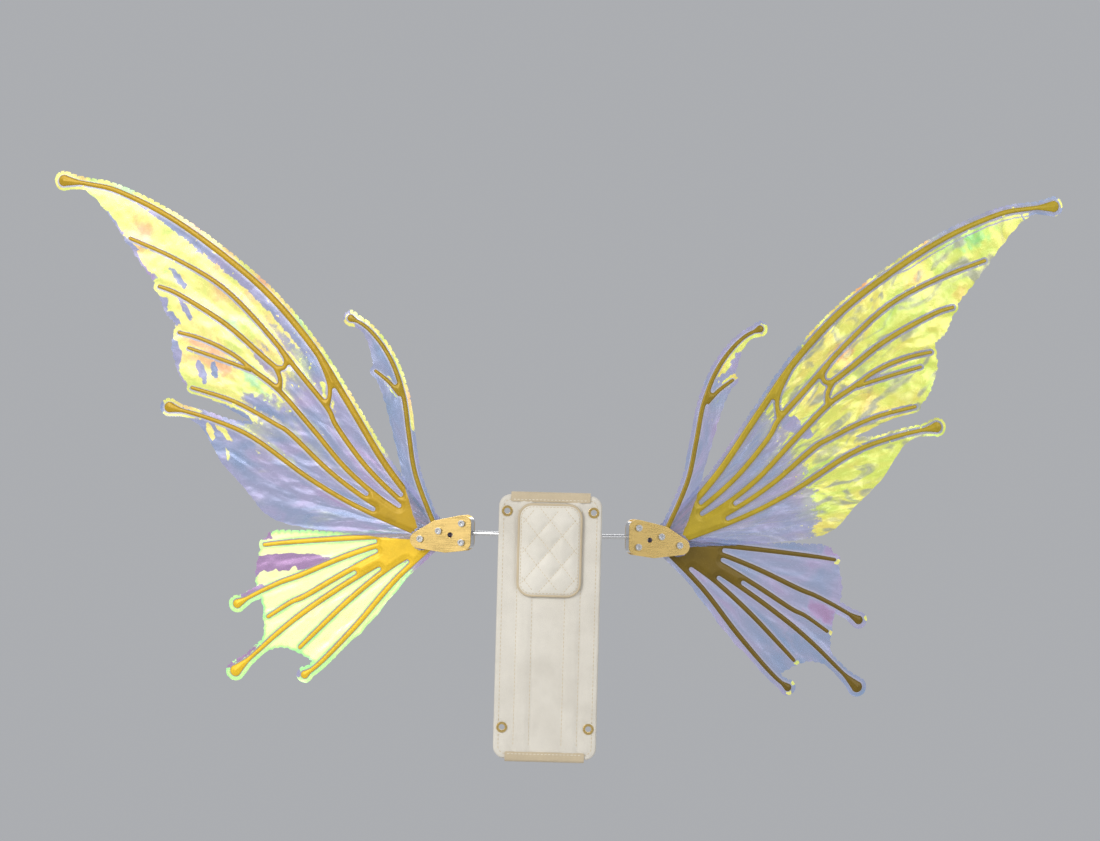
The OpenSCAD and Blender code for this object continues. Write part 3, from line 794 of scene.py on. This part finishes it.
def film_fields(look, seed, points, radius, edge, near, under, lead, outside):
    """What the material goes by at each point, from its distances and its side of the veins."""
    onset, full = look["onset"]
    tip = radius.max()
    # the painted reflection, also along the upper side of each vein, less a ragged trailing rim
    painted_reflection = look["level"] * step_up(radius, onset, full)
    beside = 0.26 * (1 - step_up(near, 1.0, 4.5)) * (~under)
    painted_reflection += beside * step_up(radius, onset - 30, onset)
    width, low, high = look["rim"]
    if width:
        there = step_up(points[:, 1], low, low + 12) * (1 - step_up(points[:, 1], high - 12, high))
        there = there * (~outside) * step_up(near, 2.0, 4.5)
        reach = width * (0.25 + 1.5 * (wavering(points, 15.0, seed) + 0.22).clip(0, 1))
        painted_reflection -= there * (1 - step_up(edge, reach * 0.7, reach * 1.2))
    # a ring of painted reflection round the bulbs near the tip
    if look["level"] > 0.5:
        round_bulb = (near < 6) & (edge < 4.6) & (radius > 0.62 * tip) & ~outside
        bulb_painted_reflection = 0.66
        painted_reflection = np.where(round_bulb, np.maximum(painted_reflection, bulb_painted_reflection), painted_reflection)
    # the colour of each part
    at_edge = 1 - step_up(np.minimum(np.abs(near), edge), 0.8, 3.6)
    tone = look["tone"] + look["edge_tone"] * at_edge
    tone = tone + np.where(outside, 0.55 * wavering(points, 17.0, seed + 3), 0)
    violet = np.full(len(points), look["violet"])
    # spots add or take away painted reflection; the small warm ones at vein tips are painted glints
    for p, z, long, wide, turn, add_painted_reflection, add_tone, add_violet in look["spots"]:
        c, s = math.cos(math.radians(turn)), math.sin(math.radians(turn))
        d = points - (p, z)
        away = np.hypot((d[:, 0] * c + d[:, 1] * s) / long, (d[:, 1] * c - d[:, 0] * s) / wide)
        torn = 0.55 if 4 < long < 40 else 0.12
        away = away + torn * wavering(points, 4.2, seed + long)
        painted_reflection += add_painted_reflection * (1 - step_up(away, 0.7, 1.15))
        tone += add_tone * (1 - step_up(away, 0.3, 1.3))
        violet += add_violet * (1 - step_up(away, 0.5, 1.3))
    margin = step_up(radius, look["margin"], look["margin"] + 40)
    painted_reflection = np.where(outside, margin * (0.86 - 0.7 * step_up(radius, *look["bare"])), painted_reflection)
    # distances from the clear lines, as shares of their widths; past is a distance from every line
    past = 9.0
    reach = look["band"] * (1 - step_up(radius, 0.7 * tip, 0.9 * tip)) + 0.3
    below, start = look["crease"]
    crease = lead - below + past * (1 - step_up(radius, start, start + 40))
    lines = dict(band=np.where(outside, past, lead / reach),
                 gap=near / np.where(under, look["gap"][1], look["gap"][0]),
                 crease=np.where(outside, past, crease))
    lines = {name: values.clip(-past, past) for name, values in lines.items()}
    return dict(painted_reflection=painted_reflection, tone=tone, violet=violet, **lines)


def wavering(points, size, seed):
    """Smooth noise over the points, with features of about the given size in millimetres."""
    return uneven(points, 1 / size, 1 / size, seed)


def film_folds(grain, strength):
    """Long soft folds along the panes and small dents, in millimetres."""
    folds = np.array([
        noise.noise(Vector((g[0] * 0.55, g[1] * 1.15, g[2])))
        + 0.35 * abs(noise.noise(Vector((g[0] * 1.9, g[1] * 1.7, g[2] + 5))))
        + 0.1 * noise.noise(Vector((g[0] * 5.1, g[1] * 4.3, g[2] + 9)))
        for g in grain])
    return (folds - folds.mean()) * (0.7 + 1.3 * strength)


def leading_side(points, vein_loops, veins, root, panel):
    """Distance below the leading vein, and which points lie on the margin outside it."""
    if panel == "lower":
        far = 99.0
        return np.full(len(points), far), np.zeros(len(points), bool)
    lead_width = 7.5
    radii, angles = polar(veins.points - root)
    bins = np.linspace(0, radii.max() + 1, 90)
    where = np.digitize(radii, bins) - 1
    empty = -9.0
    top = np.full(len(bins), empty)
    np.maximum.at(top, where, angles)
    for k in range(1, len(top)):
        if top[k] == empty:
            top[k] = top[k - 1]
    on_lead = (top[where] - angles) * radii < lead_width
    lead = distances(points, tree_of(veins.points[on_lead]))
    lead = np.where(inside(points, vein_loops), -lead, lead)
    radius, angle = polar(points - root)
    slot = (np.digitize(radius, bins) - 1).clip(0, len(bins) - 1)
    return lead, (angle > top[slot] - 0.004) & (lead > 0)


def add_fields(obj, **fields):
    for name, values in fields.items():
        values = np.asarray(values, np.float32)
        kind, key = ("FLOAT", "value") if values.ndim == 1 else ("FLOAT_VECTOR", "vector")
        layer = obj.data.attributes.new(name, kind, "POINT")
        layer.data.foreach_set(key, values.ravel())


FILM_MATERIALS = {k: film_material("film_" + k, v) for k, v in FILM_LOOKS.items()}


# ---- soft insert: quilted pad, sleeve, binding and stitching ----

BODY_PLANE = Plane((0, 0, 0), (1, 0, 0), (0, 1, 0))
CHANNEL, CHANNEL_HALF = 20.0, 6.4  # middle and half width of a bone channel
HEM, HEM_SEAM = 2.2, 4.2  # width of the sleeve's rolled edge, and how far in it is sewn


def rounded_outline(node, step, inset):
    """The node's outline seen from the front, shrunk by inset."""
    loops, front, back = cap_loops(node, BODY_PLANE)
    loop, _ = evenly(loops[0], step)
    outward = normals_of(loop) * (1 if area_of(loop) > 0 else -1)
    return loop - outward * inset, front, back


def inflated(verts, faces, held, direction, most):
    """The closed body, swollen along direction by most in a cloth simulation of inner pressure."""
    big = 10.0
    mesh = bpy.data.meshes.new("swelling")
    mesh.from_pydata([tuple(v * big) for v in verts], [], faces)
    obj = placed("swelling", mesh)
    group = obj.vertex_groups.new(name="held")
    group.add([int(k) for k in np.flatnonzero(held)], 1.0, "REPLACE")
    mod = obj.modifiers.new("cloth", "CLOTH")
    cloth = mod.settings
    cloth.quality, cloth.mass = 6, 0.3
    cloth.tension_stiffness = cloth.compression_stiffness = 12
    cloth.shear_stiffness, cloth.bending_stiffness = 6, 0.4
    cloth.use_pressure, cloth.uniform_pressure_force = True, 6
    cloth.vertex_group_mass = "held"
    cloth.effector_weights.gravity = 0
    mod.collision_settings.use_collision = False
    scene = bpy.context.scene
    for f in range(1, 21):
        scene.frame_set(f)
    done = obj.evaluated_get(bpy.context.evaluated_depsgraph_get()).data
    moved = np.array([v.co for v in done.vertices]) / big - verts
    scene.frame_set(1)
    bpy.data.objects.remove(obj)
    out = (moved @ np.asarray(direction)).clip(0, None)
    out /= max(np.percentile(out[~held], 99), 1e-9)
    return verts + np.outer(np.minimum(out, 1.0) * most, direction)


def crown(depth):
    """Height of the pad's face above the sleeve, depth in from its edge."""
    edge_height, rise, shoulder = 2.0, 2.4, 14
    return edge_height + rise * rounded(depth, shoulder)


def quilted_pad():
    """The back pad: a crowned cushion with diamond quilting, a piped edge and stitched seams."""
    pitch, seam_step, edge_depth, swelling, piping = 20.7, 0.9, 1.4, 2.3, 1.2
    run, aside = np.array((0.64, 0.77)), np.array((0.5, -0.6))  # a seam's way, and to the next
    loop, _, back = rounded_outline("back_pad", 1.3, 1.3)
    middle = loop.mean(0)
    lines = []
    t = np.arange(-60, 60, seam_step)[:, None]
    for turn in (1, -1):
        for k in range(-4, 5):
            line = middle + (t * run + k * pitch * aside) * (1, turn)
            lines.append(line[inside(line, [loop])])
    lines = [l for l in lines if len(l)]
    seam = np.vstack(lines)
    seam = seam[Border([loop]).nearest(seam)[0] > 2.2]
    points, tris, border = fill([loop], 1.5, (0.8,), seam)
    depth = border.nearest(points)[0]
    to_seam = distances(points, tree_of(seam))
    face = np.where(depth < 1e-3, back - edge_depth, back - crown(depth))
    rear = np.full(len(points), back - 0.02)
    body = lens("back_pad_cushion", BODY_PLANE, points, tris, face, rear)
    verts = np.array([v.co for v in body.data.vertices])
    faces = [tuple(p.vertices) for p in body.data.polygons]
    held = np.ones(len(verts), bool)
    held[:len(points)] = (to_seam < 0.5) | (depth < 1.5)
    swollen = inflated(verts, faces, held, (0, -1, 0), swelling * MM)
    for v, co in zip(body.data.vertices, swollen):
        v.co = co
    dress(body, MATERIALS["pad"], "spine", "back_pad")
    edge, *_ = rounded_outline("back_pad", 1.6, 1.2)
    edge = np.column_stack([edge, np.full(len(edge), back - 1.7)])
    finish_soft(tube("back_pad_piping", edge, piping), "binding")
    rows = [l[border.nearest(l)[0] > 2.4] for l in lines]
    rows = [l for l in rows if len(l) > 6] + [rounded_outline("back_pad", 0.9, 3.1)[0]]
    rows = [np.column_stack([l, back - crown(border.nearest(l)[0])]) for l in rows]
    finish_soft(stitching("back_pad_stitching", rows, 2.0, 0.9, 0.22), "thread")


def sleeve_front(points, border, front, thick):
    """The sleeve's front face: rolled edges, two raised bone channels and sewn-in lines."""
    hollow, channel_line, hem_line, waviness = 0.75, 0.38, 0.32, 0.22
    depth = border.nearest(points)[0]
    n = front + thick * 0.5 * (1 - rounded(depth, HEM))
    across = np.abs(np.abs(points[:, 0]) - CHANNEL)
    away_from_hem = step_up(depth, 2, 6)
    n = n - hollow * (1 - step_up(across, CHANNEL_HALF - 2.2, CHANNEL_HALF - 0.4)) * away_from_hem
    n = n + channel_line * np.exp(-((across - CHANNEL_HALF) / 0.55) ** 2) * away_from_hem
    n = n + hem_line * np.exp(-((depth - HEM_SEAM) / 0.6) ** 2)
    return n + waviness * uneven(points, 0.16, 0.05, 2) * step_up(depth, 2, 8)


def bone_sleeve():
    """The coutil sleeve that goes down the back of a bodice, open at its eyelets."""
    eyelet_most = 200  # mm2; the plate's recess is larger
    seam_low, seam_high = -163, 37
    loops, front, back = cap_loops("insert_sleeve", BODY_PLANE)
    holes = [l for l in loops[1:] if abs(area_of(l)) < eyelet_most]
    loops = [evenly(loops[0], 1.8)[0]] + [evenly(l, 1.0)[0] for l in holes]
    columns = [s * (CHANNEL + k * CHANNEL_HALF) for s in (-1, 1) for k in (-1, 1)]
    extra = np.array([(x, z) for x in columns for z in np.arange(seam_low - 5, seam_high + 4, 1.5)])
    points, tris, border = fill(loops, 2.1, (0.7, 1.6, HEM_SEAM), extra)
    thick = back - front
    depth = border.nearest(points)[0]
    on_edge = depth < 1e-3
    face = np.where(on_edge, front + thick * 0.6, sleeve_front(points, border, front, thick))
    rear = np.where(on_edge, front + thick * 0.6, back - thick * 0.4 * (1 - rounded(depth, HEM)))
    body = lens("insert_sleeve_cloth", BODY_PLANE, points, tris, face, rear)
    dress(body, MATERIALS["coutil"], "spine", "insert_sleeve")
    z = np.arange(seam_low, seam_high, 0.8)
    rows = [np.column_stack([np.full(len(z), x), z]) for x in columns]
    rows.append(rounded_outline("insert_sleeve", 0.8, HEM_SEAM)[0])
    rows = [np.column_stack([r, sleeve_front(r, border, front, thick)]) for r in rows]
    rows.append(rows[-1] * (1, 1, 0) + (0, 0, back - 0.04))
    finish_soft(stitching("insert_sleeve_stitching", rows, 2.3, 1.1, 0.24), "thread")


def swept(start, rings, sides):
    """Faces of a closed body, from its rings of points, numbered one after another from start."""
    faces = []
    for a in range(start, start + (rings - 1) * sides, sides):
        for k in range(sides):
            p, q = a + k, a + (k + 1) % sides
            faces.append((p, q, q + sides, p + sides))
    end = start + rings * sides
    return faces + [tuple(range(start, start + sides))[::-1], tuple(range(end - sides, end))]


def bias_bindings():
    """Folded tape over the sleeve's two ends, with a row of stitches on each face."""
    half = (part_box("sleeve_binding")[1] / MM)[0]
    low, high = (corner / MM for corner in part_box("insert_sleeve"))
    front, back = low[1], high[1]
    lap = 6.0
    section = [(front - 0.05, -lap), (front - 0.75, -lap + 0.1), (front - 0.85, -3),
               (front - 0.8, 0.2), (front - 0.3, 1.6), (front + 0.9, 2.3), (back - 0.9, 2.3),
               (back + 0.1, 1.7), (back + 0.55, 0.2), (back + 0.6, -3), (back + 0.5, -lap + 0.1),
               (back - 0.05, -lap), (back - 0.1, -0.6), (front + 0.1, -0.6)]
    outside = range(1, 11)
    xs = np.linspace(-half, half, 56)
    verts, faces, rows = [], [], []
    for end, sign in ((high[2], 1), (low[2], -1)):
        start = len(verts)
        for i, x in enumerate(xs):
            shrink = 0.93 if i in (0, len(xs) - 1) else 1.0
            for k, (n, z) in enumerate(section):
                pucker = 0.0
                if k in outside:
                    pucker = 0.16 * noise.noise(Vector((x * 0.45, k * 0.4, end)))
                height = end + sign * (z * shrink + pucker)
                verts.append((x, height, n + (pucker if n < front else 0)))
        faces += swept(start, len(xs), len(section))
        t = np.arange(-half + 1.5, half - 1.5, 0.8)
        for n in (front - 0.84, back + 0.6):
            height = np.full(len(t), end - sign * HEM_SEAM)
            rows.append(np.column_stack([t, height, np.full(len(t), n)]))
    tape = new_object("sleeve_binding_tape", BODY_PLANE.back_from(np.array(verts)), faces)
    tape.data.set_sharp_from_angle(angle=math.radians(60))
    finish_soft(tape, "binding")
    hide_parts("sleeve_binding")
    finish_soft(stitching("sleeve_binding_stitching", rows, 2.1, 1.0, 0.26), "pale_thread")


def finish_soft(obj, material):
    paint(obj, MATERIALS[material])
    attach(obj, "spine")


def tube(name, path, radius):
    """A closed round cord of radius mm along the path, whose points are sideways, up and behind."""
    sides = 12
    behind = np.array((0.0, 0.0, 1.0))
    side = unit(np.cross(unit(np.roll(path, -1, 0) - np.roll(path, 1, 0)), behind))
    turns = np.linspace(0, 2 * math.pi, sides, endpoint=False)
    up = np.outer(np.sin(turns), behind)
    verts = np.vstack([p + radius * (np.outer(np.cos(turns), s) + up) for p, s in zip(path, side)])
    count = len(path)
    faces = [(i * sides + k, i * sides + (k + 1) % sides,
              (i + 1) % count * sides + (k + 1) % sides, (i + 1) % count * sides + k)
             for i in range(count) for k in range(sides)]
    return new_object(name, BODY_PLANE.back_from(verts), faces)


def stitching(name, rows, length, gap, radius):
    """Rows of single stitches, each a short arched capsule that dips into the cloth at its ends."""
    # how far along the stitch, its thickness there, and how far it drops, both over the radius
    shape = [(0, 0.35, 0.5), (0.14, 0.9, 0.1), (0.5, 1, -0.35), (0.86, 0.9, 0.1), (1, 0.35, 0.5)]
    sides = 6
    turns = np.linspace(0, 2 * math.pi, sides, endpoint=False)
    verts, faces = [], []
    for row in rows:
        along = running_length(row)
        at = gap / 2
        while at + length < along[-1]:
            a, b = (np.array([np.interp(v, along, axis) for axis in row.T])
                    for v in (at, at + length))
            run = unit(b - a)
            side = unit(np.cross(run, (0, 0, 1)))
            lift = np.cross(side, run)
            lift *= np.sign(lift[2]) or 1
            start = len(verts)
            for t, share, drop in shape:
                middle = a + (b - a) * t + lift * drop * radius
                verts += [middle + radius * share * (math.cos(turn) * side + math.sin(turn) * lift)
                          for turn in turns]
            faces += swept(start, len(shape), sides)
            at += length + gap
    return new_object(name, BODY_PLANE.back_from(np.array(verts)), faces)


# ---- hardware ----

# width of each metal's or plastic's broken edges
BEVELS = {"aluminium": 0.35, "steel": 0.18, "brass": 0.22, "nylon": 0.15, "rubber": 0.6,
          "bone_tip": 0.35, "spring_steel": 0.15}


def finished(node, slot, body):
    """The node's own shape with its edges broken, in place of the bare node."""
    mesh = nodes[node].data.copy()
    bm = bmesh.new()
    bm.from_mesh(mesh)
    bmesh.ops.remove_doubles(bm, verts=bm.verts, dist=2e-6)
    bmesh.ops.dissolve_limit(bm, angle_limit=math.radians(1), verts=bm.verts, edges=bm.edges)
    bm.to_mesh(mesh)
    bm.free()
    obj = placed(node + "_finish", mesh)
    mod = obj.modifiers.new("bevel", "BEVEL")
    mod.width, mod.segments, mod.limit_method = BEVELS[slot] * MM, 2, "ANGLE"
    mod.angle_limit = math.radians(40)
    mod.use_clamp_overlap = True
    mesh.shade_smooth()
    even = obj.modifiers.new("even", "WEIGHTED_NORMAL")
    even.weight = 100
    bpy.context.view_layer.objects.active = obj
    obj.select_set(True)
    for name in ("bevel", "even"):
        bpy.ops.object.modifier_apply(modifier=name)
    obj.select_set(False)
    dress(obj, MATERIALS[slot], body, node)


def make_all():
    slots = {s["node"]: s["material_slot"] for s in frame["record"]["subparts"]}
    bodies = frame["record"]["behaviour"]["bodies"]
    body_of = {n: b for b, members in bodies.items() for n in members}
    for side in SIDES:
        plane = wing_plane(side)
        wing = f"{side}_wing"
        for panel in ("upper", "lower", "winglet"):
            stem = f"{side}_{panel}"
            gilt = gilt_material(stem + "_gilt", GILT_LIT_AND_SHADED[stem])
            loops = bead(stem + "_gilding", stem + "_veins", plane, gilt, wing, True)
            bead(stem + "_wiring", stem + "_wires", plane, MATERIALS["gilt_wire"],
                 wing, False, spacing=0.8, roundness=1.5)
            film(side, panel, plane, loops)
    quilted_pad()
    bone_sleeve()
    bias_bindings()
    for node in list(nodes):
        if slots[node] in BEVELS:
            finished(node, slots[node], body_of[node])


make_camera()
make_light()
make_floor()
make_all()
